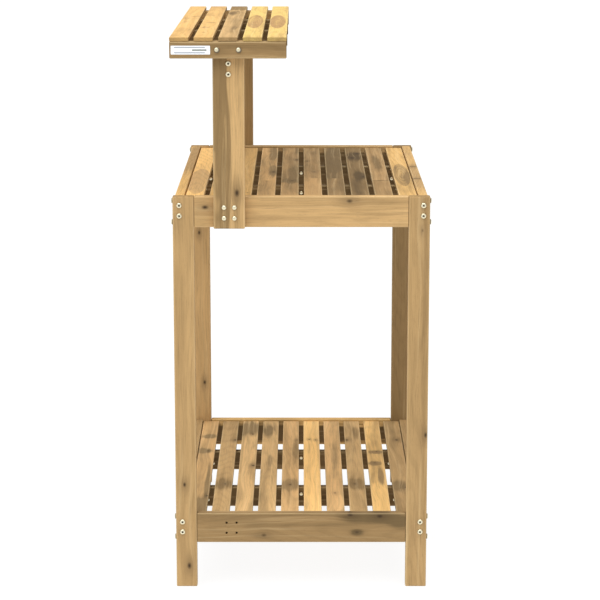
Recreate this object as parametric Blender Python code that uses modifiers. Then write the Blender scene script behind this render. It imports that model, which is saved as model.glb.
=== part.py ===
"""Slatted wooden potting bench: four legs, a slatted worktop, a slatted lower shelf, and a small slatted
upper shelf on two posts at the back.

Metres, +Z up. The origin is on the floor under the middle of the bench. +X is the front, where the user
stands, and -Y is the user's left. Nothing moves: every joint is screwed.
"""

from math import pi

import bmesh
import bpy
from mathutils import Matrix, Vector

# Overall form
GAP = 0.0003  # between touching pieces
STOCK = 0.018  # thickness of every rail, bar and post
LEG_WIDTH = 0.041
LEGS_DEPTH = 0.4952  # outer faces of the legs, along X
LEGS_LENGTH = 0.747  # outer faces of the legs and end rails, along Y

# Worktop and lower shelf, which are the same frame at two heights
RAIL_HEIGHT = 0.060
WORKTOP_TOP = 0.7845
LOWER_TOP = 0.1515
SIDE_RAIL_INSET = 0.0038  # side rail's outer face behind the legs' outer edges
SLAT_COUNT = 10
SLAT_WIDTH = 0.0355
SLAT_PITCH = 0.0459
SLAT_THICKNESS = 0.009
SLAT_DROP = 0.004  # slat tops below the rail tops
BAR_HEIGHT = 0.0415
BAR_Y = 0.138

# Posts and upper shelf
POST_WIDTH = 0.060
POST_X = -0.138
SHELF_TOP = 1.092
SHELF_DEPTH = 0.2204
SHELF_SLAT_COUNT = 5
SHELF_SLAT_WIDTH = 0.0362
SHELF_SLAT_THICKNESS = 0.008
SHELF_RAIL_HEIGHT = 0.032

# Rounded edges
BOARD_ROUND = 0.002
SLAT_ROUND = 0.0015

# Screws: flat round heads with a hexagon socket
HEAD_RADIUS = 0.00525
HEAD_HEIGHT = 0.0025
SHANK_RADIUS = 0.002
SOCKET_RADIUS = 0.0023
SOCKET_DEPTH = 0.0015
LEG_SCREW_LENGTH = 0.066
SHELF_SCREW_LENGTH = 0.033
HOLE_RADIUS = 0.0024
HOLE_SIDES = 12
HOLE_OVERRUN = 0.002
LEG_SCREW_SPACING = 0.0416
SHELF_SCREW_SPACING = 0.0412
POST_HOLE_SPACING_X = 0.0198
POST_HOLE_SPACING_Z = 0.0208

# Worked out from the above
LEG_X = (LEGS_DEPTH - LEG_WIDTH) / 2
END_OUTER = LEGS_LENGTH / 2
END_Y = END_OUTER - STOCK / 2  # middle of the legs and end rails
SIDE_RAIL_X = LEGS_DEPTH / 2 - SIDE_RAIL_INSET - STOCK / 2
END_RAIL_LENGTH = LEGS_DEPTH - 2 * LEG_WIDTH - 2 * GAP
INNER_LENGTH = LEGS_LENGTH - 2 * STOCK - 2 * GAP  # side rails and slats, between the two end frames
BAR_LENGTH = 2 * (SIDE_RAIL_X - STOCK / 2 - GAP)
POST_OUTER = END_OUTER + GAP + STOCK
POST_Y = POST_OUTER - STOCK / 2
SHELF_OUTER = POST_OUTER + GAP + STOCK
SHELF_RAIL_Y = SHELF_OUTER - STOCK / 2
SHELF_RAIL_TOP = SHELF_TOP - SHELF_SLAT_THICKNESS - GAP
POST_BOTTOM = WORKTOP_TOP - RAIL_HEIGHT
STRETCHER_TOP = SHELF_RAIL_TOP - SHELF_RAIL_HEIGHT - GAP
LEVELS = {"top": WORKTOP_TOP, "lower": LOWER_TOP}
ENDS = {"left": -1, "right": 1}
SIDES = {"back": -1, "front": 1}

AXIS_MATRIX = {
    "x": Matrix.Rotation(pi / 2, 4, "Y"),
    "y": Matrix.Rotation(-pi / 2, 4, "X"),
    "z": Matrix.Identity(4),
}


def clear_scene():
    for old in list(bpy.data.objects):
        bpy.data.objects.remove(old)


def new_collection(name):
    made = bpy.data.collections.new(name)
    bpy.context.scene.collection.children.link(made)
    return made


def new_material(name, colour, roughness, metallic):
    material = bpy.data.materials.new(name)
    material.use_nodes = True
    shader = material.node_tree.nodes["Principled BSDF"]
    shader.inputs["Base Color"].default_value = (*colour, 1.0)
    shader.inputs["Roughness"].default_value = roughness
    shader.inputs["Metallic"].default_value = metallic
    material.diffuse_color = (*colour, 1.0)
    return material


def link_mesh(name, mesh, collection, material=None):
    piece = bpy.data.objects.new(name, mesh)
    collection.objects.link(piece)
    if material:
        mesh.materials.append(material)
    return piece


def board(name, centre, size, material, rounding=BOARD_ROUND):
    """A sawn board with its edges rounded."""
    shape = bmesh.new()
    bmesh.ops.create_cube(shape, size=1.0)
    bmesh.ops.scale(shape, vec=size, verts=shape.verts)
    mesh = bpy.data.meshes.new(name)
    shape.to_mesh(mesh)
    shape.free()
    piece = link_mesh(name, mesh, PARTS, material)
    piece.location = centre
    bevel = piece.modifiers.new("rounded edges", "BEVEL")
    bevel.width = rounding
    bevel.segments = 2
    return piece


def add_cylinder(shape, start, axis, length, radius, sides):
    """A cylinder in the mesh being made, from start along the axis."""
    place = Matrix.Translation(start) @ AXIS_MATRIX[axis] @ Matrix.Translation((0, 0, length / 2))
    bmesh.ops.create_cone(
        shape,
        cap_ends=True,
        segments=sides,
        radius1=radius,
        radius2=radius,
        depth=abs(length),
        matrix=place,
    )


def drill(piece, holes):
    """Cuts round holes. Each is (start, axis, length), and a negative length runs down the axis."""
    shape = bmesh.new()
    for start, axis, length in holes:
        add_cylinder(shape, start, axis, length, HOLE_RADIUS, HOLE_SIDES)
    mesh = bpy.data.meshes.new(piece.name + "_holes")
    shape.to_mesh(mesh)
    shape.free()
    cutter = link_mesh(piece.name + "_holes", mesh, CUTTERS)
    cutter.hide_render = True
    cutter.display_type = "WIRE"
    cut = piece.modifiers.new("holes", "BOOLEAN")
    cut.operation = "DIFFERENCE"
    cut.solver = "EXACT"
    cut.object = cutter


def screw_mesh(name, length):
    """A turned screw along -Z, the underside of its head at the origin."""
    profile = [
        (0.0, HEAD_HEIGHT),
        (0.70 * HEAD_RADIUS, HEAD_HEIGHT),
        (0.92 * HEAD_RADIUS, 0.75 * HEAD_HEIGHT),
        (HEAD_RADIUS, 0.35 * HEAD_HEIGHT),
        (HEAD_RADIUS, 0.0),
        (SHANK_RADIUS, 0.0),
        (SHANK_RADIUS, -length + 2.5 * SHANK_RADIUS),
        (0.0, -length),
    ]
    mesh = bpy.data.meshes.new(name)
    points = [(radius, 0.0, height) for radius, height in profile]
    mesh.from_pydata(points, [(i, i + 1) for i in range(len(points) - 1)], [])
    return mesh


def socket_cutter():
    shape = bmesh.new()
    bottom = (0, 0, HEAD_HEIGHT - SOCKET_DEPTH)
    add_cylinder(shape, bottom, "z", 2 * SOCKET_DEPTH, SOCKET_RADIUS, 6)
    mesh = bpy.data.meshes.new("socket")
    shape.to_mesh(mesh)
    shape.free()
    return mesh


def screw(name, mesh, seat, outward):
    """A screw whose head sits on the surface at seat and faces outward."""
    piece = link_mesh(name, mesh, PARTS)
    piece.location = seat + outward * GAP
    piece.rotation_euler = Vector((0, 0, 1)).rotation_difference(outward).to_euler()
    turned = piece.modifiers.new("turned", "SCREW")
    turned.steps = 16
    turned.render_steps = 16
    turned.use_merge_vertices = True
    turned.merge_threshold = 0.00001
    cutter = link_mesh(name + "_socket", SOCKET, CUTTERS)
    cutter.matrix_basis = piece.matrix_basis
    cutter.hide_render = True
    cutter.display_type = "WIRE"
    cut = piece.modifiers.new("socket", "BOOLEAN")
    cut.operation = "DIFFERENCE"
    cut.solver = "EXACT"
    cut.object = cutter
    return piece


def legs():
    for side, x_sign in SIDES.items():
        for end, y_sign in ENDS.items():
            centre = (x_sign * LEG_X, y_sign * END_Y, WORKTOP_TOP / 2)
            leg = board(f"leg_{side}_{end}", centre, (LEG_WIDTH, STOCK, WORKTOP_TOP), LEG_WOOD)
            start_x = x_sign * (LEGS_DEPTH / 2 + HOLE_OVERRUN)
            length = -x_sign * (LEG_WIDTH + 2 * HOLE_OVERRUN)
            drill(leg, [((start_x, y_sign * END_Y, z), "x", length) for z in leg_screw_heights()])


def leg_screw_heights():
    middle = WORKTOP_TOP - RAIL_HEIGHT / 2
    return [middle - LEG_SCREW_SPACING / 2, middle + LEG_SCREW_SPACING / 2]


def end_rail_holes(level, y_sign):
    """Four holes for a post through every end rail, and at worktop height the leg screws' holes in its ends."""
    middle = LEVELS[level] - RAIL_HEIGHT / 2
    outer = y_sign * (END_OUTER + HOLE_OVERRUN)
    through = -y_sign * (STOCK + 2 * HOLE_OVERRUN)
    holes = []
    for across in (-POST_HOLE_SPACING_X / 2, POST_HOLE_SPACING_X / 2):
        for up in (-POST_HOLE_SPACING_Z / 2, POST_HOLE_SPACING_Z / 2):
            holes.append(((POST_X + across, outer, middle + up), "y", through))
    if level == "top":
        depth = LEG_SCREW_LENGTH - LEG_WIDTH + 2 * HOLE_OVERRUN
        for x_sign in SIDES.values():
            start_x = x_sign * (END_RAIL_LENGTH / 2 + HOLE_OVERRUN)
            for z in leg_screw_heights():
                holes.append(((start_x, y_sign * END_Y, z), "x", -x_sign * depth))
    return holes


def slatted_frame(level):
    """Two end rails, two side rails, two bars and the slats on them."""
    top = LEVELS[level]
    rail_z = top - RAIL_HEIGHT / 2
    for end, y_sign in ENDS.items():
        size = (END_RAIL_LENGTH, STOCK, RAIL_HEIGHT)
        rail = board(f"{level}_end_rail_{end}", (0, y_sign * END_Y, rail_z), size, RAIL_WOOD)
        drill(rail, end_rail_holes(level, y_sign))
    for side, x_sign in SIDES.items():
        size = (STOCK, INNER_LENGTH, RAIL_HEIGHT)
        board(f"{level}_{side}_rail", (x_sign * SIDE_RAIL_X, 0, rail_z), size, RAIL_WOOD)
    slat_z = top - SLAT_DROP - SLAT_THICKNESS / 2
    bar_z = slat_z - SLAT_THICKNESS / 2 - GAP - BAR_HEIGHT / 2
    for end, y_sign in ENDS.items():
        size = (BAR_LENGTH, STOCK, BAR_HEIGHT)
        board(f"{level}_bar_{end}", (0, y_sign * BAR_Y, bar_z), size, RAIL_WOOD)
    for index in range(SLAT_COUNT):
        x = (index - (SLAT_COUNT - 1) / 2) * SLAT_PITCH
        size = (SLAT_WIDTH, INNER_LENGTH, SLAT_THICKNESS)
        board(f"{level}_slat_{index + 1:02d}", (x, 0, slat_z), size, SLAT_WOOD, SLAT_ROUND)


def posts():
    height = SHELF_RAIL_TOP - POST_BOTTOM
    for end, y_sign in ENDS.items():
        centre = (POST_X, y_sign * POST_Y, POST_BOTTOM + height / 2)
        post = board(f"post_{end}", centre, (POST_WIDTH, STOCK, height), RAIL_WOOD)
        outer = y_sign * (POST_OUTER + HOLE_OVERRUN)
        depth = -y_sign * (STOCK + 2 * HOLE_OVERRUN)
        drill(post, [((x, outer, shelf_screw_height()), "y", depth) for x in shelf_screw_places()])
    length = 2 * END_OUTER
    centre = (POST_X, 0, STRETCHER_TOP - BAR_HEIGHT / 2)
    board("post_stretcher", centre, (STOCK, length, BAR_HEIGHT), RAIL_WOOD)


def shelf_screw_height():
    return SHELF_RAIL_TOP - SHELF_RAIL_HEIGHT / 2


def shelf_screw_places():
    return [POST_X - SHELF_SCREW_SPACING / 2, POST_X + SHELF_SCREW_SPACING / 2]


def upper_shelf():
    rail_z = SHELF_RAIL_TOP - SHELF_RAIL_HEIGHT / 2
    for end, y_sign in ENDS.items():
        size = (SHELF_DEPTH, STOCK, SHELF_RAIL_HEIGHT)
        rail = board(f"shelf_end_rail_{end}", (POST_X, y_sign * SHELF_RAIL_Y, rail_z), size, RAIL_WOOD)
        outer = y_sign * (SHELF_OUTER + HOLE_OVERRUN)
        depth = -y_sign * (STOCK + 2 * HOLE_OVERRUN)
        drill(rail, [((x, outer, shelf_screw_height()), "y", depth) for x in shelf_screw_places()])
        board(f"shelf_bar_{end}", (POST_X, y_sign * BAR_Y, rail_z), size, RAIL_WOOD)
    pitch = (SHELF_DEPTH - SHELF_SLAT_WIDTH) / (SHELF_SLAT_COUNT - 1)
    for index in range(SHELF_SLAT_COUNT):
        x = POST_X + (index - (SHELF_SLAT_COUNT - 1) / 2) * pitch
        size = (SHELF_SLAT_WIDTH, 2 * SHELF_OUTER, SHELF_SLAT_THICKNESS)
        centre = (x, 0, SHELF_TOP - SHELF_SLAT_THICKNESS / 2)
        board(f"shelf_slat_{index + 1}", centre, size, SLAT_WOOD, SLAT_ROUND)


def screws():
    """The screws through the legs into the worktop's end rails, and through the shelf's rails into the posts."""
    leg_screw = screw_mesh("leg_screw", LEG_SCREW_LENGTH)
    leg_screw.materials.append(ZINC)
    for side, x_sign in SIDES.items():
        for end, y_sign in ENDS.items():
            for number, z in enumerate(leg_screw_heights(), start=1):
                seat = Vector((x_sign * LEGS_DEPTH / 2, y_sign * END_Y, z))
                screw(f"leg_screw_{side}_{end}_{number}", leg_screw, seat, Vector((x_sign, 0, 0)))
    shelf_screw = screw_mesh("shelf_screw", SHELF_SCREW_LENGTH)
    shelf_screw.materials.append(ZINC)
    for end, y_sign in ENDS.items():
        for number, x in enumerate(shelf_screw_places(), start=1):
            seat = Vector((x, y_sign * SHELF_OUTER, shelf_screw_height()))
            screw(f"shelf_screw_{end}_{number}", shelf_screw, seat, Vector((0, y_sign, 0)))


clear_scene()
PARTS = new_collection("potting_bench")
CUTTERS = new_collection("cutters")
LEG_WOOD = new_material("leg_wood", (0.50, 0.29, 0.12), 0.55, 0.0)
RAIL_WOOD = new_material("rail_wood", (0.44, 0.25, 0.10), 0.55, 0.0)
SLAT_WOOD = new_material("slat_wood", (0.58, 0.36, 0.16), 0.50, 0.0)
ZINC = new_material("zinc", (0.78, 0.74, 0.62), 0.30, 1.0)
SOCKET = socket_cutter()
legs()
for frame_level in LEVELS:
    slatted_frame(frame_level)
posts()
upper_shelf()
screws()
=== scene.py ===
"""The looks of the slatted potting bench: planed hardwood boards, zinc-plated screws and a plain sticker."""

import random
from math import cos, pi, radians, sin

import bmesh
import bpy
from mathutils import Matrix, Vector


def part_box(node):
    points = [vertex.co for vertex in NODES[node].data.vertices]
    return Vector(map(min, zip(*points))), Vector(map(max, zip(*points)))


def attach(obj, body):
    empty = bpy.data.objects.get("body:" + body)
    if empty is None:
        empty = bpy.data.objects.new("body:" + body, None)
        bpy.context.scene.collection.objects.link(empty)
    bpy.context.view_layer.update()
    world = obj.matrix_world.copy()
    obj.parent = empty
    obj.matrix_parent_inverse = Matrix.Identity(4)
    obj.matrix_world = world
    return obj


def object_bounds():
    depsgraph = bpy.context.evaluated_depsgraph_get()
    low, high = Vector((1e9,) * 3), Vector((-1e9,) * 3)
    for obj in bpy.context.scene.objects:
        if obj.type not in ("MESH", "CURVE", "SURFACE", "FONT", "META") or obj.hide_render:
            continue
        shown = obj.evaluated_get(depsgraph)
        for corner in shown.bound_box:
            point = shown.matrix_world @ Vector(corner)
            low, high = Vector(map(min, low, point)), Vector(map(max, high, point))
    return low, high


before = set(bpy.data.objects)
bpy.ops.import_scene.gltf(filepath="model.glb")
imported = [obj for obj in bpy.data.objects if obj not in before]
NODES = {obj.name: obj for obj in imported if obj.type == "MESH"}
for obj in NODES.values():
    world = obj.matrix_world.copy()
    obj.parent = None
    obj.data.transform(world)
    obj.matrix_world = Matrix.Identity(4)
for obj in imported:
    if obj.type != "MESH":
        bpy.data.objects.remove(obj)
cad_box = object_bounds()

# ---------------------------------------------------------------- how each board is figured
# Tones are linear albedos: sapwood is pale gold, heartwood runs from tan to grey-brown.
GOLD = (0.70, 0.435, 0.162)
STRAW = (0.74, 0.520, 0.175)
HONEY = (0.60, 0.386, 0.172)
PINK = (0.56, 0.345, 0.150)
TAN = (0.45, 0.287, 0.127)
UMBER = (0.28, 0.180, 0.079)
GREY = (0.24, 0.160, 0.074)
SHADE = (0.13, 0.084, 0.038)
BROWN = (0.46, 0.275, 0.115)
KNOT = (0.060, 0.038, 0.022)
PALE = (0.88, 0.68, 0.38)


class Look:
    """How one board is figured. Places are (along, across) from the board's middle, in metres.

    heart is how much of the board is heartwood. Patches, which are blurred, and ovals, which have a
    clean outline and rings inside, add some: (place, half size, strength). A knot is (place, size,
    strength). Past a joint, where lengths are glued end to end, the heart changes by the amount
    given. tone makes the whole board lighter or darker.
    """

    def __init__(self, light, dark, heart, tone=1.0, patches=(), ovals=(), knots=(), joints=()):
        self.light = light
        self.dark = dark
        self.heart = heart
        self.tone = tone
        self.patches = patches
        self.ovals = ovals
        self.knots = knots
        self.joints = joints


# Rails and bars that have no look of their own
PLAIN_RAIL = Look(TAN, UMBER, 0.40)
# The bars are toned dark as painted shade, for the shade they sit in under the slats
BAR_IN_PAINTED_SHADE = Look(UMBER, SHADE, 0.45, 0.6)

OVAL_SLAT = Look(STRAW, BROWN, 0.04, 1.02, ovals=[((-0.03, -0.002), (0.17, 0.016), 0.95)])

BOARD_LOOKS = {
    # Legs, along Z and across X
    "leg_front_left": Look(
        HONEY, TAN, 0.35, 0.85,
        patches=[((0.0, 0.012), (0.5, 0.006), 0.35)],
        knots=[((-0.081, 0.017), 0.0045, 1.0), ((0.326, 0.006), 0.003, 0.6)],
    ),
    "leg_back_left": Look(
        HONEY, TAN, 0.35, 0.94,
        knots=[((-0.182, -0.003), 0.004, 1.0), ((-0.349, 0.005), 0.0055, 1.0)],
    ),
    "leg_front_right": Look(UMBER, GREY, 0.5, 1.13),
    "leg_back_right": Look(
        HONEY, TAN, 0.7, 1.13,
        knots=[((0.195, -0.0035), 0.004, 1.0), ((-0.153, 0.006), 0.0045, 1.0)],
    ),
    # Worktop frame
    "top_end_rail_left": Look(
        TAN, UMBER, 0.25, 1.39,
        patches=[((0.13, -0.004), (0.11, 0.004), 0.3)],
        knots=[((-0.185, 0.009), 0.0055, 1.0), ((0.0925, 0.021), 0.0050, 0.9)],
    ),
    "top_back_rail": Look(GOLD, TAN, 0.02, 1.08, patches=[((0.19, 0.0), (0.23, 0.2), 0.75)]),
    "top_front_rail": Look(
        GOLD, TAN, 0.35,
        patches=[((-0.12, 0.0), (0.16, 0.2), 0.35)],
        knots=[((0.03, 0.028), 0.006, 0.8), ((-0.14, 0.028), 0.005, 0.8)],
    ),
    # Its patch is painted shade: the rail is darker below its top edge, as in the shade under the slats
    "top_end_rail_right": Look(TAN, SHADE, 0.2, patches=[((0.0, -0.006), (0.6, 0.027), 0.9)]),
    # Worktop slats, from the back to the front
    "top_slat_01": Look(GOLD, TAN, 0.10, 1.41, ovals=[((-0.146, 0.0), (0.170, 0.021), 0.9)]),
    "top_slat_02": Look(GOLD, TAN, 0.15),
    "top_slat_03": Look(GOLD, TAN, 0.30, knots=[((-0.30, 0.010), 0.002, 0.7), ((-0.21, -0.011), 0.002, 0.7)]),
    "top_slat_04": Look(
        PINK, GREY, 0.35, 1.22,
        patches=[((0.24, 0.010), (0.14, 0.012), 0.8), ((-0.01, 0.010), (0.08, 0.011), 0.9)],
        knots=[((-0.02, 0.012), 0.005, 1.0)],
        joints=[(-0.14, -0.1)],
    ),
    "top_slat_05": Look(
        PINK, GREY, 0.35, 0.98,
        patches=[((-0.144, 0.002), (0.035, 0.014), 0.9)],
        knots=[((0.16, 0.015), 0.0045, 1.0), ((-0.144, 0.004), 0.004, 0.8)],
        joints=[(-0.17, 0.40)],
    ),
    "top_slat_06": Look(
        PINK, GREY, 0.06, 0.92,
        knots=[((-0.02, 0.004), 0.003, 0.8), ((0.14, -0.010), 0.003, 0.7)],
        joints=[(-0.109, 0.62)],
    ),
    "top_slat_07": Look(
        TAN, GREY, 0.60, 0.76,
        patches=[((0.07, 0.0), (0.12, 0.012), 0.7)],
        joints=[(-0.11, 0.2)],
    ),
    "top_slat_08": Look(
        UMBER, SHADE, 0.20, 0.84,
        patches=[((0.21, 0.0), (0.08, 0.02), 0.7), ((-0.07, 0.004), (0.07, 0.013), 0.8)],
        knots=[((0.19, -0.004), 0.007, 1.0), ((0.26, 0.008), 0.006, 1.0), ((-0.09, 0.012), 0.0045, 1.0)],
    ),
    "top_slat_09": Look(
        PINK, UMBER, 0.30, 0.76,
        patches=[((0.10, 0.0), (0.14, 0.009), 0.5), ((-0.14, 0.0), (0.006, 0.03), 0.6)],
        joints=[(-0.14, 0.12)],
    ),
    "top_slat_10": Look(GOLD, UMBER, 0.15, 0.95, ovals=[((-0.06, 0.0), (0.155, 0.016), 0.6)]),
    # Lower frame
    "lower_end_rail_left": Look(
        TAN, GREY, 0.15, 0.77,
        patches=[
            ((0.15, 0.020), (0.07, 0.012), 0.9),
            ((0.192, 0.012), (0.022, 0.014), 0.7),
            ((0.11, -0.009), (0.012, 0.006), 0.8),
        ],
        knots=[
            ((-0.074, -0.015), 0.0045, 0.8),
            ((0.110, -0.009), 0.0035, 0.7),
            ((0.0965, 0.027), 0.005, 1.0),
            ((0.155, 0.024), 0.005, 1.0),
        ],
    ),
    # Its patch is painted shade: the rail is darker below its top edge, as in the shade under the slats
    "lower_end_rail_right": Look(GOLD, SHADE, 0.1, patches=[((0.0, -0.006), (0.6, 0.027), 0.8)]),
    "lower_back_rail": Look(TAN, UMBER, 0.1),
    "lower_front_rail": Look(TAN, UMBER, 0.3),
    # Lower slats, from the back to the front
    "lower_slat_01": Look(
        PINK, GREY, 0.15, 1.18,
        patches=[
            ((0.22, 0.0), (0.018, 0.03), 0.7),
            ((0.10, -0.004), (0.020, 0.02), 0.8),
            ((-0.12, 0.012), (0.16, 0.005), 0.7),
            ((-0.31, 0.0), (0.06, 0.03), 0.9),
        ],
        knots=[((0.10, 0.004), 0.003, 0.8), ((-0.24, 0.015), 0.005, 1.0)],
    ),
    "lower_slat_02": Look(
        HONEY, UMBER, 0.15, 0.90,
        patches=[((-0.16, 0.0), (0.045, 0.024), 0.7), ((0.05, -0.010), (0.12, 0.006), -0.5)],
        knots=[((0.19, 0.014), 0.0045, 1.0), ((-0.155, 0.003), 0.003, 0.8)],
    ),
    "lower_slat_03": Look(
        HONEY, GREY, 0.25, 1.20,
        patches=[((0.29, 0.0), (0.07, 0.03), 0.7), ((0.05, -0.008), (0.2, 0.005), -0.4)],
        knots=[((0.24, 0.006), 0.004, 0.8), ((-0.016, 0.012), 0.005, 1.0)],
    ),
    "lower_slat_04": Look(
        HONEY, GREY, 0.25, 1.12,
        patches=[
            ((0.25, -0.004), (0.07, 0.014), 0.8),
            ((0.02, 0.002), (0.06, 0.006), 0.5),
            ((-0.27, 0.014), (0.10, 0.010), -0.8),
        ],
    ),
    "lower_slat_05": Look(
        PINK, UMBER, 0.15, 1.20,
        patches=[((-0.16, 0.0), (0.045, 0.024), 0.9), ((0.12, 0.010), (0.10, 0.008), 0.4)],
        knots=[((-0.16, 0.0), 0.0035, 0.9), ((0.19, 0.014), 0.003, 0.7)],
    ),
    "lower_slat_06": Look(
        GOLD, TAN, 0.20, 1.34,
        patches=[((0.0, 0.006), (0.22, 0.008), -0.6), ((-0.25, -0.010), (0.10, 0.006), 0.4)],
        knots=[((0.195, -0.005), 0.0028, 1.0), ((0.190, 0.009), 0.0028, 1.0)],
    ),
    "lower_slat_07": Look(
        PINK, GREY, 0.30, 1.30,
        patches=[
            ((0.05, 0.003), (0.12, 0.009), 0.5),
            ((0.18, -0.013), (0.18, 0.006), -0.9),
            ((-0.29, 0.008), (0.06, 0.010), -0.6),
        ],
        knots=[((-0.22, 0.0), 0.004, 0.7)],
    ),
    "lower_slat_08": Look(
        HONEY, UMBER, 0.25, 1.00,
        patches=[((-0.16, 0.0), (0.045, 0.024), 0.7), ((0.26, 0.008), (0.06, 0.008), 0.4)],
        knots=[((0.19, -0.013), 0.0045, 1.0), ((-0.155, -0.004), 0.003, 0.8)],
    ),
    "lower_slat_09": Look(
        GOLD, UMBER, 0.25, 1.18,
        patches=[
            ((0.09, 0.004), (0.014, 0.016), 0.9),
            ((0.0, -0.004), (0.016, 0.016), 0.9),
            ((-0.09, 0.006), (0.07, 0.007), 0.6),
            ((-0.27, 0.0), (0.12, 0.03), -0.6),
        ],
        knots=[((0.095, 0.004), 0.003, 0.7), ((0.005, -0.003), 0.003, 0.7)],
    ),
    "lower_slat_10": Look(
        TAN, GREY, 0.35, 1.05,
        patches=[((-0.16, 0.0), (0.045, 0.024), 0.6)],
        knots=[((0.19, 0.006), 0.005, 1.0), ((-0.18, 0.010), 0.005, 1.0)],
    ),
    # Posts and upper shelf
    "post_left": Look(
        HONEY, UMBER, 0.12, 1.07,
        ovals=[((0.15, -0.026), (0.175, 0.0235), 0.7), ((-0.05, -0.022), (0.20, 0.027), 0.7)],
        knots=[((-0.110, 0.015), 0.0062, 1.0)],
    ),
    "post_right": Look(UMBER, GREY, 0.3, 1.40),
    "shelf_end_rail_left": Look(TAN, UMBER, 0.35, 0.86),
    "shelf_slat_1": Look(
        GOLD, BROWN, 0.14, 1.08,
        patches=[
            ((0.11, 0.008), (0.008, 0.012), 0.8),
            ((0.06, -0.006), (0.012, 0.010), 0.7),
            ((-0.04, -0.004), (0.010, 0.008), 0.7),
        ],
    ),
    "shelf_slat_2": Look(
        GOLD, BROWN, 0.18, 1.06,
        patches=[
            ((0.14, -0.006), (0.008, 0.010), 0.7),
            ((-0.06, 0.0), (0.008, 0.014), 0.8),
            ((-0.18, -0.004), (0.020, 0.008), 0.5),
        ],
        knots=[((-0.30, -0.004), 0.002, 0.8)],
    ),
    "shelf_slat_3": Look(
        HONEY, UMBER, 0.30, 1.02,
        patches=[
            ((0.37, 0.0), (0.10, 0.04), 0.9),
            ((0.20, -0.008), (0.07, 0.008), 0.8),
            ((-0.20, 0.006), (0.05, 0.006), 0.4),
        ],
        knots=[((0.25, 0.0), 0.004, 0.9), ((0.20, -0.010), 0.005, 0.7)],
    ),
    "shelf_slat_4": OVAL_SLAT,
    "shelf_slat_5": OVAL_SLAT,
}


# ---------------------------------------------------------------- node helpers
EULER = 2.718


class Shader:
    """A small helper that adds and joins shader nodes."""

    def __init__(self, name):
        self.material = bpy.data.materials.new(name)
        self.material.use_nodes = True
        self.tree = self.material.node_tree
        self.surface = self.tree.nodes["Principled BSDF"]

    def add(self, kind, **settings):
        node = self.tree.nodes.new(kind)
        for key, value in settings.items():
            setattr(node, key, value)
        return node

    def put(self, value, socket):
        """Join a node's output to the socket, or set a plain value on it."""
        if hasattr(value, "is_output"):
            self.tree.links.new(value, socket)
        else:
            socket.default_value = value

    def math(self, operation, a, b=0.0):
        node = self.add("ShaderNodeMath", operation=operation)
        self.put(a, node.inputs[0])
        self.put(b, node.inputs[1])
        return node.outputs[0]

    def plus(self, a, b):
        return self.math("ADD", a, b)

    def minus(self, a, b):
        return self.math("SUBTRACT", a, b)

    def times(self, a, b):
        return self.math("MULTIPLY", a, b)

    def centred(self, value, amount):
        """A noise about zero, times the amount."""
        return self.times(self.minus(value, 0.5), amount)

    def vector(self, x, y, z):
        node = self.add("ShaderNodeCombineXYZ")
        for value, socket in zip((x, y, z), node.inputs):
            self.put(value, socket)
        return node.outputs[0]

    def split(self, place):
        node = self.add("ShaderNodeSeparateXYZ")
        self.put(place, node.inputs[0])
        return node.outputs

    def object_place(self):
        return self.add("ShaderNodeTexCoord").outputs["Object"]

    def noise(self, place, stretch, detail=2.0, roughness=0.5):
        """A noise from 0 to 1, with that many lumps to the metre along each axis."""
        mapping = self.add("ShaderNodeMapping")
        self.put(place, mapping.inputs["Vector"])
        mapping.inputs["Scale"].default_value = stretch
        node = self.add("ShaderNodeTexNoise")
        self.put(mapping.outputs[0], node.inputs["Vector"])
        node.inputs["Scale"].default_value = 1.0
        node.inputs["Detail"].default_value = detail
        node.inputs["Roughness"].default_value = roughness
        return node.outputs["Fac"]

    def ramp(self, value, low, high):
        """0 at low and 1 at high, smoothly. It falls instead if low is the larger."""
        node = self.add("ShaderNodeMapRange", interpolation_type="SMOOTHSTEP")
        node.clamp = True
        self.put(value, node.inputs["Value"])
        node.inputs["From Min"].default_value = low
        node.inputs["From Max"].default_value = high
        return node.outputs["Result"]

    def mix(self, factor, a, b):
        node = self.add("ShaderNodeMix", data_type="RGBA")
        self.put(factor, node.inputs[0])
        for value, socket in ((a, node.inputs[6]), (b, node.inputs[7])):
            self.put(value if hasattr(value, "is_output") else (*value, 1.0), socket)
        return node.outputs[2]

    def oval(self, u, v, place, size):
        """0 at the place and 1 on the outline of an oval of that half size, squared."""
        du = self.times(self.minus(u, place[0]), 1 / size[0])
        dv = self.times(self.minus(v, place[1]), 1 / size[1])
        return self.plus(self.times(du, du), self.times(dv, dv))

    def blob(self, u, v, place, size):
        """1 at the place, falling smoothly to 0 past the size."""
        return self.math("POWER", EULER, self.times(self.oval(u, v, place, size), -1.0))

    def bump(self, height, strength, distance):
        node = self.add("ShaderNodeBump")
        node.inputs["Strength"].default_value = strength
        node.inputs["Distance"].default_value = distance
        self.put(height, node.inputs["Height"])
        self.put(node.outputs[0], self.surface.inputs["Normal"])


# ---------------------------------------------------------------- wood
RING_WIDTH = 0.0055  # between growth rings
# Planed edges are paler, partly from wear and partly as a painted highlight on their rounding
EDGE_WEAR_AND_HIGHLIGHT_WIDTH = 0.0030  # paler margin along a planed edge
END_SKIN = 0.0010  # depth of the darker sawn end
JOINT_JUMP = 3.7  # along the grain, from one glued length to the next
AXIS_NUMBER = {"x": 0, "y": 1, "z": 2}


def board_place(shader, node, axes):
    """The place from the board's middle, along, across and through it, and its half size."""
    low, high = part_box(node)
    place = shader.split(shader.object_place())
    numbers = [AXIS_NUMBER[axis] for axis in axes]
    half = [(high[n] - low[n]) / 2 for n in numbers]
    local = [shader.minus(place[n], (high[n] + low[n]) / 2) for n in numbers]
    return local, half


def glue_joints(shader, look, u, grain_u):
    """Past each joint the grain is another piece's, and the heart changes."""
    heart = look.heart
    for joint, change in look.joints:
        past = shader.math("GREATER_THAN", u, joint)
        grain_u = shader.plus(grain_u, shader.times(past, JOINT_JUMP))
        heart = shader.plus(shader.times(past, change), heart)
    return grain_u, heart


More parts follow.
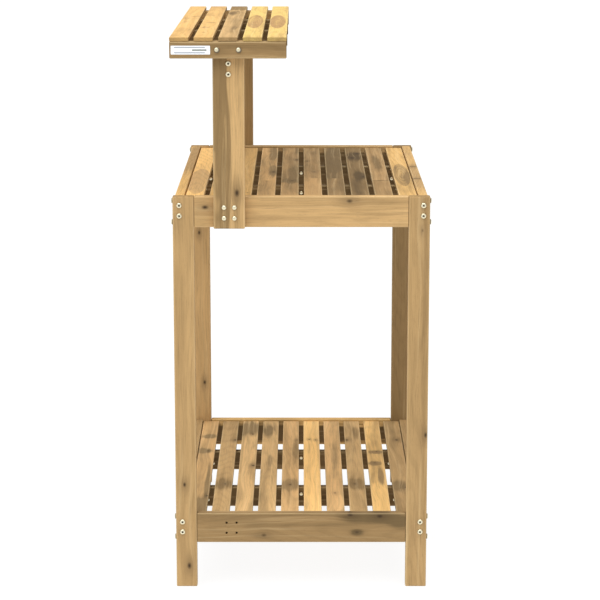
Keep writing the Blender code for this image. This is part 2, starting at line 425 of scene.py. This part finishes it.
def bend_round_knots(shader, look, u, v, grain_v):
    """The grain bends round each knot, which has a dark core and a fainter halo."""
    knot = 0.0
    for (ku, kv), size, strength in look.knots:
        near = shader.blob(u, v, (ku, kv), (size * 4.5, size * 2.0))
        away = shader.minus(v, kv)
        grain_v = shader.minus(grain_v, shader.times(shader.times(near, away), 0.75))
        core = shader.times(shader.blob(u, v, (ku, kv), (size * 1.5, size * 0.9)), strength)
        halo = shader.times(near, 0.42 * strength)
        knot = shader.math("MAXIMUM", knot, shader.math("MAXIMUM", core, halo))
    return grain_v, knot


def growth_rings(shader, rng, grain, grain_v, u, w):
    """Rings about a pith under the board, which runs a little askew."""
    pith_v, pith_w = rng.uniform(-0.02, 0.02), -rng.uniform(0.03, 0.06)
    ring_v = shader.minus(grain_v, pith_v)
    ring_w = shader.plus(shader.minus(w, pith_w), shader.times(u, rng.uniform(-0.09, 0.09)))
    square = shader.plus(shader.times(ring_v, ring_v), shader.times(ring_w, ring_w))
    swell = shader.centred(shader.noise(grain, (1.6, 12.0, 12.0)), 0.05)
    radius = shader.plus(shader.math("SQRT", square), swell)
    return shader.ramp(shader.math("SINE", shader.times(radius, 2 * pi / RING_WIDTH)), 0.0, 1.0)


def heartwood(shader, look, heart, u, v, grain, streak):
    """How far the wood is heartwood, from 0 to a little over 1."""
    band = shader.noise(grain, (2.0, 38.0, 38.0), 2.0)
    cloud = shader.noise(grain, (9.0, 30.0, 30.0), 2.0)
    for noise, amount in ((band, 1.9), (cloud, 1.1), (streak, 0.8)):
        heart = shader.plus(heart, shader.centred(noise, amount))
    for spot, size, strength in look.patches:
        ragged = shader.plus(shader.blob(u, v, spot, size), shader.centred(cloud, 0.8))
        ragged = shader.plus(ragged, shader.centred(streak, 0.5))
        heart = shader.plus(heart, shader.times(shader.ramp(ragged, 0.15, 0.85), strength * 1.45))
    for spot, size, strength in look.ovals:
        reach = shader.math("SQRT", shader.oval(u, v, spot, size))
        reach = shader.plus(reach, shader.centred(band, 0.16))
        lines = shader.times(shader.math("SINE", shader.times(reach, 26.0)), 0.12)
        lines = shader.plus(lines, shader.times(shader.ramp(reach, 0.80, 0.95), 0.15))
        inside = shader.ramp(reach, 1.05, 0.93)
        heart = shader.plus(heart, shader.times(inside, shader.plus(strength, lines)))
    return shader.math("MINIMUM", shader.math("MAXIMUM", heart, 0.0), 1.3)


def wood(node, axes, look, seed):
    """Planed hardwood. axes names which row axes run along, across and through the board."""
    shader = Shader("wood_" + node)
    rng = random.Random(seed)
    local, half = board_place(shader, node, axes)
    u, v, w = local
    grain_u, heart = glue_joints(shader, look, u, shader.plus(u, rng.uniform(-9, 9)))

    # The grain wanders a little and bends round the knots
    shift_v, shift_w = rng.uniform(-1, 1), rng.uniform(-1, 1)
    wander = shader.noise(shader.vector(grain_u, v, w), (4.0, 9.0, 9.0), 1.0)
    grain_v = shader.plus(v, shader.centred(wander, 0.024))
    grain_v, knot = bend_round_knots(shader, look, u, v, grain_v)
    grain = shader.vector(grain_u, shader.plus(grain_v, shift_v), shader.plus(w, shift_w))

    ring = growth_rings(shader, rng, grain, grain_v, u, w)
    fibre = shader.noise(grain, (16.0, 620.0, 620.0), 3.0, 0.6)
    streak = shader.noise(grain, (2.6, 150.0, 150.0), 3.0, 0.6)
    pores = shader.ramp(shader.noise(grain, (80.0, 1400.0, 1400.0), 1.0), 0.64, 0.72)
    heart = heartwood(shader, look, heart, u, v, grain, streak)
    light = [channel * look.tone for channel in look.light]
    dark = [channel * look.tone for channel in look.dark]
    colour = shader.mix(heart, light, dark)
    colour = shader.mix(shader.times(ring, 0.11), colour, SHADE)
    colour = shader.mix(shader.times(shader.ramp(fibre, 0.48, 0.76), 0.34), colour, SHADE)
    colour = shader.mix(shader.times(shader.ramp(streak, 0.48, 0.26), 0.16), colour, PALE)
    colour = shader.mix(shader.times(pores, 0.20), colour, KNOT)
    colour = shader.mix(knot, colour, KNOT)

    # Planed edges are paler, partly worn and partly a painted highlight on their rounding; the slats' sides
    # are darkened as painted shade in the gaps between them; and sawn ends soak up oil
    along, across, through = [shader.minus(half[i], shader.math("ABSOLUTE", local[i])) for i in range(3)]
    edge = shader.plus(shader.plus(across, through), shader.centred(streak, 0.0016))
    # Paler edges: partly wear, partly a painted highlight on the rounding
    edge_wear_and_highlight = shader.ramp(edge, EDGE_WEAR_AND_HIGHLIGHT_WIDTH, EDGE_WEAR_AND_HIGHLIGHT_WIDTH / 3)
    colour = shader.mix(shader.times(edge_wear_and_highlight, 0.22), colour, PALE)
    if "slat" in node:
        # Painted shade: a slat's side faces, away from its top and bottom, are darkened as if the gaps were
        # in shade
        side = shader.times(shader.ramp(across, 0.0008, 0.0002), shader.ramp(through, 0.0008, 0.0022))
        colour = shader.mix(shader.times(side, 0.55), colour, SHADE)
    end = shader.ramp(along, END_SKIN, END_SKIN / 5)
    colour = shader.mix(shader.times(end, 0.36), colour, SHADE)
    shader.put(colour, shader.surface.inputs["Base Color"])
    rough = shader.plus(shader.plus(0.60, shader.times(fibre, 0.16)), shader.times(end, 0.2))
    shader.put(rough, shader.surface.inputs["Roughness"])
    shader.surface.inputs["Specular IOR Level"].default_value = 0.08
    height = shader.plus(shader.times(fibre, 0.5), shader.times(ring, 0.2))
    height = shader.minus(height, shader.times(pores, 0.5))
    shader.bump(height, 0.25, 0.0006)
    return shader.material


SHARP_ANGLE = radians(40)  # faces that meet more sharply keep a hard edge
# Which row axes run along, across and through each kind of board
AXES = {"leg": "zxy", "post": "zxy", "slat": "yxz", "end_rail": "xzy", "bar": "xzy", "side_rail": "yzx"}


def kind_of(node):
    if node == "post_stretcher":
        return "side_rail"
    for kind in ("slat", "end_rail", "bar", "post", "leg"):
        if kind in node:
            return kind
    return "side_rail"


def set_material(piece, material):
    piece.data.materials.clear()
    piece.data.materials.append(material)


def smooth(mesh):
    mesh.shade_smooth()
    mesh.set_sharp_from_angle(angle=SHARP_ANGLE)


def new_piece(name, shape, materials):
    """A new object from the mesh being made."""
    bmesh.ops.recalc_face_normals(shape, faces=shape.faces)
    mesh = bpy.data.meshes.new(name)
    shape.to_mesh(mesh)
    shape.free()
    for material in materials:
        mesh.materials.append(material)
    piece = bpy.data.objects.new(name, mesh)
    bpy.context.scene.collection.objects.link(piece)
    return piece


def dress_boards():
    for seed, node in enumerate(sorted(NODES)):
        if "screw" in node:
            continue
        kind = kind_of(node)
        look = BOARD_LOOKS.get(node, BAR_IN_PAINTED_SHADE if kind == "bar" else PLAIN_RAIL)
        set_material(NODES[node], wood(node, AXES[kind], look, seed))


# ---------------------------------------------------------------- screws
HEAD_RADIUS = 0.00525
HEAD_HEIGHT = 0.0025
SHANK_RADIUS = 0.0020
SOCKET_RADIUS = 0.0023
SOCKET_DEPTH = 0.0014
SEAT = 0.0002  # from the wood to the underside of the head
SIDES = 36
HEXAGON_LEVELS = 3  # the profile's first levels, which are hexagons
RIM_BANDS = (5, 6, 7)  # bands of faces from the rim to under the head
PAINTED_SHADE_ON_ZINC = (0.16, 0.125, 0.075)


def zinc(name, centre=None, across=0, socket=0.0, bright=1.0):
    """Bright zinc with a faint yellow cast.

    If a centre is given, the head is darkened as painted shade inside the socket's radius and past the bright
    radius.
    across is the row axis, 0 or 1, that runs across the head.
    """
    shader = Shader(name)
    place = shader.object_place()
    blotch = shader.noise(place, (260.0, 260.0, 260.0), 3.0)
    fine = shader.noise(place, (2600.0, 2600.0, 2600.0), 2.0)
    colour = shader.mix(shader.ramp(blotch, 0.3, 0.7), (0.95, 0.87, 0.62), (0.84, 0.78, 0.58))
    metal = 1.0
    if centre is not None:
        parts = shader.split(place)
        off_x = shader.minus(parts[across], centre[across])
        off_z = shader.minus(parts[2], centre.z)
        square = shader.plus(shader.times(off_x, off_x), shader.times(off_z, off_z))
        reach = shader.math("SQRT", square)
        # Painted shade in the socket and round the head's rim
        inner = shader.ramp(reach, socket + 0.0001, socket - 0.0001)
        painted_shade_mask = shader.plus(inner, shader.ramp(reach, bright, bright + 0.0004))
        colour = shader.mix(painted_shade_mask, colour, PAINTED_SHADE_ON_ZINC)
        metal = shader.minus(1.0, painted_shade_mask)
    shader.put(colour, shader.surface.inputs["Base Color"])
    shader.put(metal, shader.surface.inputs["Metallic"])
    shader.put(shader.plus(0.26, shader.times(blotch, 0.22)), shader.surface.inputs["Roughness"])
    shader.bump(fine, 0.15, 0.0001)
    return shader.material


def painted_shade_material(name, dark, light):
    """Zinc darkened as painted shade, in a screw's socket and round its rim."""
    shader = Shader(name)
    speck = shader.noise(shader.object_place(), (1500.0, 1500.0, 1500.0), 2.0)
    shader.put(shader.mix(speck, dark, light), shader.surface.inputs["Base Color"])
    shader.surface.inputs["Roughness"].default_value = 0.8
    return shader.material


class Head:
    """A screw head's shape: a flat head with a hexagon socket, or a smaller domed one.

    shoulder holds three shares of the radius, where the top is at 1, 0.86 and 0.58 of the height.
    """

    def __init__(self, radius, height, socket, shoulder):
        self.radius = radius
        self.height = height
        self.socket = socket
        self.shoulder = shoulder


FLAT = Head(HEAD_RADIUS, HEAD_HEIGHT, SOCKET_RADIUS, (0.74, 0.88, 0.97))
DOMED = Head(0.0045, 0.0026, 0.0012, (0.45, 0.72, 0.93))
SMALL = Head(0.0035, 0.0020, 0.0010, (0.45, 0.72, 0.93))


def add_screw(shape, head, seat, outward, length):
    """A turned head on a plain shank, added to the mesh being made.

    Faces in the socket take material 1 and those on the rim take material 2.
    """
    turn = Vector((0, 0, 1)).rotation_difference(outward).to_matrix().to_4x4()
    place = Matrix.Translation(seat + outward * SEAT) @ turn
    near, middle, rim = head.shoulder
    profile = [
        (head.socket * 0.80, head.height - SOCKET_DEPTH),
        (head.socket, head.height - 0.0001),
        (head.socket * 1.08, head.height),
        (head.radius * near, head.height),
        (head.radius * middle, head.height * 0.86),
        (head.radius * rim, head.height * 0.58),
        (head.radius, head.height * 0.30),
        (head.radius * 0.985, 0.0),
        (SHANK_RADIUS, 0.0),
        (SHANK_RADIUS, -length),
    ]
    rings = []
    for level, (radius, height) in enumerate(profile):
        ring = []
        for step in range(SIDES):
            angle = 2 * pi * step / SIDES
            reach = radius
            if level < HEXAGON_LEVELS:
                reach = radius * cos(pi / 6) / cos((angle % (pi / 3)) - pi / 6)
            point = place @ Vector((reach * cos(angle), reach * sin(angle), height))
            ring.append(shape.verts.new(point))
        rings.append(ring)
    for level, (inner, outer) in enumerate(zip(rings, rings[1:])):
        for step in range(SIDES):
            after = (step + 1) % SIDES
            face = shape.faces.new((inner[step], outer[step], outer[after], inner[after]))
            face.material_index = 1 if level == 0 else 2 if level in RIM_BANDS else 0
    shape.faces.new(rings[0]).material_index = 1
    shape.faces.new(reversed(rings[-1]))


def screw_group(name, head, places, length, materials):
    shape = bmesh.new()
    for seat, outward in places:
        add_screw(shape, head, seat, outward, length)
    piece = new_piece(name, shape, materials)
    smooth(piece.data)
    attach(piece, "root")


def middle(node):
    low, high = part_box(node)
    return (low + high) / 2


LEG_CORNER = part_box("leg_front_right")[1]
RAIL_X = middle("top_front_rail").x
END_Y = middle("top_end_rail_right").y
POST = middle("post_right")
POST_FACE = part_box("post_right")[1].y
LEVELS = ("top", "lower")
SIGNS = (-1, 1)

# Half the distance between two screws
PAIR = 0.0102  # in a board's end
WIDE_PAIR = 0.0208  # in a leg's edge
POST_PAIR = (0.0099, 0.0104)  # across and up, in a post

BAR_REACH = 0.194  # from the middle of a cross bar to its outer screws

# How far screws sit above a board's middle
END_LIFT = 0.0022
EDGE_LIFT = 0.0010
POST_LIFT = 0.0008
BAR_LIFT = 0.0040
BAR_MIDDLE_LIFT = 0.0060

# Shank lengths
END_SHANK = 0.048
LONG_SHANK = 0.066
POST_SHANK = 0.033
BAR_SHANK = 0.012


def leg_end_places():
    """Through each leg's broad face into a side rail's end."""
    places = []
    for level in LEVELS:
        z = middle(level + "_front_rail").z + END_LIFT
        for sx in SIGNS:
            for sy in SIGNS:
                for up in SIGNS:
                    seat = Vector((sx * RAIL_X, sy * LEG_CORNER.y, z + up * PAIR))
                    places.append((seat, Vector((0, sy, 0))))
    return places


def lower_leg_side_places():
    """Through each leg's narrow edge into the lower end rail; those at the worktop are in the frame."""
    places = []
    z = middle("lower_front_rail").z + EDGE_LIFT
    for sx in SIGNS:
        for sy in SIGNS:
            for up in SIGNS:
                seat = Vector((sx * LEG_CORNER.x, sy * END_Y, z + up * WIDE_PAIR))
                places.append((seat, Vector((sx, 0, 0))))
    return places


def post_places():
    """Four through each post into the worktop's end rail."""
    places = []
    z = middle("top_front_rail").z + POST_LIFT
    for sy in SIGNS:
        for up in SIGNS:
            for across in SIGNS:
                x = POST.x + across * POST_PAIR[0]
                seat = Vector((x, sy * POST_FACE, z + up * POST_PAIR[1]))
                places.append((seat, Vector((0, sy, 0))))
    return places


def stretcher_places():
    """Two through each post into the stretcher's end."""
    z = middle("post_stretcher").z
    places = []
    for sy in SIGNS:
        for up in SIGNS:
            places.append((Vector((POST.x, sy * POST_FACE, z + up * PAIR)), Vector((0, sy, 0))))
    return places


def bar_places():
    """Small screws in the cross bars, which show only as glints between the slats."""
    places = []
    for level in LEVELS:
        for side in SIGNS:
            bar = level + ("_bar_left" if side < 0 else "_bar_right")
            z = middle(bar).z
            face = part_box(bar)[0].y
            spots = [(sx * BAR_REACH, z + BAR_LIFT + up * PAIR) for sx in SIGNS for up in SIGNS]
            spots.append((0.0, z + BAR_MIDDLE_LIFT))
            places += [(Vector((x, face, height)), Vector((0, -1, 0))) for x, height in spots]
    return places


# The frame's screws are bright out to this radius and darkened past it as painted shade
LEG_BRIGHT = 0.0048
SHELF_BRIGHT = 0.0035
SHELF_SHIFT = Vector((-0.0008, 0, 0.0008))  # of the bright part, towards the light


def frame_screws():
    """The twelve screws that are in the frame already."""
    for node in NODES:
        if "screw" not in node:
            continue
        if node.startswith("leg"):
            material = zinc("zinc_" + node, middle(node), AXIS_NUMBER["y"], SOCKET_RADIUS, LEG_BRIGHT)
        else:
            lit = middle(node) + SHELF_SHIFT
            material = zinc("zinc_" + node, lit, AXIS_NUMBER["x"], 0.0, SHELF_BRIGHT)
        set_material(NODES[node], material)
        smooth(NODES[node].data)


def screws():
    plain = zinc("zinc")
    # Painted shade for the heads' sockets and rims
    socket = painted_shade_material("socket", (0.07, 0.056, 0.036), (0.16, 0.13, 0.085))
    rim = painted_shade_material("rim", (0.20, 0.155, 0.085), (0.34, 0.27, 0.16))
    socketed = (plain, socket, rim)
    domed = (plain, plain, rim)
    screw_group("leg_end_screws", FLAT, leg_end_places(), END_SHANK, socketed)
    screw_group("leg_side_screws_lower", FLAT, lower_leg_side_places(), LONG_SHANK, socketed)
    screw_group("post_screws", DOMED, post_places(), POST_SHANK, domed)
    screw_group("stretcher_screws", FLAT, stretcher_places(), LONG_SHANK, socketed)
    screw_group("bar_screws", SMALL, bar_places(), BAR_SHANK, domed)
    frame_screws()


# ---------------------------------------------------------------- label
LABEL_SIZE = (0.0740, 0.0165)
LABEL_CORNER = 0.0012
LABEL_CORNER_STEPS = 6
LABEL_INSET = 0.0030  # from the rail's end
LABEL_PROUD = 0.0004  # face in front of the rail
LABEL_THICKNESS = 0.0003
RAIL_LOW, RAIL_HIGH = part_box("shelf_end_rail_left")
LABEL_X = RAIL_LOW.x + LABEL_INSET + LABEL_SIZE[0] / 2
LABEL_PLACE = Vector((LABEL_X, RAIL_LOW.y, (RAIL_LOW.z + RAIL_HIGH.z) / 2))
RULE_SIZE = (0.058, 0.0018)
RULE_HEIGHT = 0.0050  # above and below the label's middle
BAR_SIZE = (0.027, 0.0026)
PRINT_BLUR = 0.0003


def printed(shader, x, z, centre, size):
    """1 inside a rectangle on the label, with soft edges."""
    across = shader.math("ABSOLUTE", shader.minus(x, centre[0]))
    up = shader.math("ABSOLUTE", shader.minus(z, centre[1]))
    inside_x = shader.ramp(across, size[0] / 2 + PRINT_BLUR, size[0] / 2 - PRINT_BLUR)
    inside_z = shader.ramp(up, size[1] / 2 + PRINT_BLUR, size[1] / 2 - PRINT_BLUR)
    return shader.times(inside_x, inside_z)


def label_material():
    """Glossy white paper with two thin rules and a plain bar where a maker would print."""
    shader = Shader("label")
    place = shader.object_place()
    parts = shader.split(place)
    x = shader.minus(parts[0], LABEL_PLACE.x)
    z = shader.minus(parts[2], LABEL_PLACE.z)
    paper = shader.noise(place, (900.0, 900.0, 900.0))
    colour = shader.mix(paper, (0.90, 0.93, 0.96), (0.96, 0.97, 0.98))
    for height in (-RULE_HEIGHT, RULE_HEIGHT):
        rule = printed(shader, x, z, (-0.0017, height), RULE_SIZE)
        colour = shader.mix(shader.times(rule, 0.85), colour, (0.22, 0.25, 0.31))
    bar = printed(shader, x, z, (0.0166, 0.0), BAR_SIZE)
    colour = shader.mix(shader.times(bar, 0.9), colour, (0.10, 0.12, 0.07))
    shader.put(colour, shader.surface.inputs["Base Color"])
    shader.surface.inputs["Roughness"].default_value = 0.35
    return shader.material


def label():
    shape = bmesh.new()
    outline = []
    for cx, cz, start in ((1, 1, 0), (-1, 1, 90), (-1, -1, 180), (1, -1, 270)):
        for step in range(LABEL_CORNER_STEPS + 1):
            angle = radians(start + 90 * step / LABEL_CORNER_STEPS)
            x = cx * (LABEL_SIZE[0] / 2 - LABEL_CORNER) + LABEL_CORNER * cos(angle)
            z = cz * (LABEL_SIZE[1] / 2 - LABEL_CORNER) + LABEL_CORNER * sin(angle)
            outline.append(shape.verts.new(LABEL_PLACE + Vector((x, -LABEL_PROUD, z))))
    face = shape.faces.new(outline)
    made = bmesh.ops.extrude_face_region(shape, geom=[face])
    moved = [v for v in made["geom"] if isinstance(v, bmesh.types.BMVert)]
    bmesh.ops.translate(shape, verts=moved, vec=(0, LABEL_THICKNESS, 0))
    piece = new_piece("label", shape, [label_material()])
    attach(piece, "root")


# ---------------------------------------------------------------- stage, light and camera
FLOOR_SIZE = 80.0
LIGHT_HEADING = Vector((0.14, 0.30, -1.0))
CAMERA_PLACE = (-0.0026, -4.5331, 1.4375)
CAMERA_DIP = 0.2029  # below level, in radians
LENS = 131.6  # on a sensor 36 mm wide


def stage():
    """A large pale floor that glows a little, as a light table does, so shadows on it stay faint."""
    bpy.ops.mesh.primitive_plane_add(size=FLOOR_SIZE, location=(0, 0, cad_box[0].z))
    floor = bpy.context.object
    floor.name = "floor"
    shader = Shader("floor")
    mottle = shader.noise(shader.object_place(), (1.2, 1.2, 1.2))
    grey = shader.mix(mottle, (0.11, 0.11, 0.11), (0.13, 0.13, 0.13))
    shader.put(grey, shader.surface.inputs["Base Color"])
    shader.surface.inputs["Roughness"].default_value = 0.9
    shader.surface.inputs["Specular IOR Level"].default_value = 0.0
    shader.surface.inputs["Emission Color"].default_value = (1.0, 1.0, 1.0, 1.0)
    shader.surface.inputs["Emission Strength"].default_value = 0.90
    set_material(floor, shader.material)


def light():
    world = bpy.data.worlds.new("studio")
    world.use_nodes = True
    background = world.node_tree.nodes["Background"]
    background.inputs["Color"].default_value = (1.0, 1.0, 1.0, 1.0)
    background.inputs["Strength"].default_value = 0.50
    bpy.context.scene.world = world
    sun = bpy.data.lights.new("key", "SUN")
    sun.energy = 3.4
    sun.angle = radians(80)
    key = bpy.data.objects.new("key", sun)
    key.rotation_euler = LIGHT_HEADING.to_track_quat("-Z", "Y").to_euler()
    bpy.context.scene.collection.objects.link(key)


def camera():
    lens = bpy.data.cameras.new("camera")
    lens.lens = LENS
    lens.sensor_width = 36.0
    seen = bpy.data.objects.new("camera", lens)
    seen.location = CAMERA_PLACE
    seen.rotation_euler = (pi / 2 - CAMERA_DIP, 0, 0)
    bpy.context.scene.collection.objects.link(seen)
    bpy.context.scene.camera = seen


bpy.context.scene.view_settings.view_transform = "Standard"
dress_boards()
screws()
label()
stage()
light()
camera()
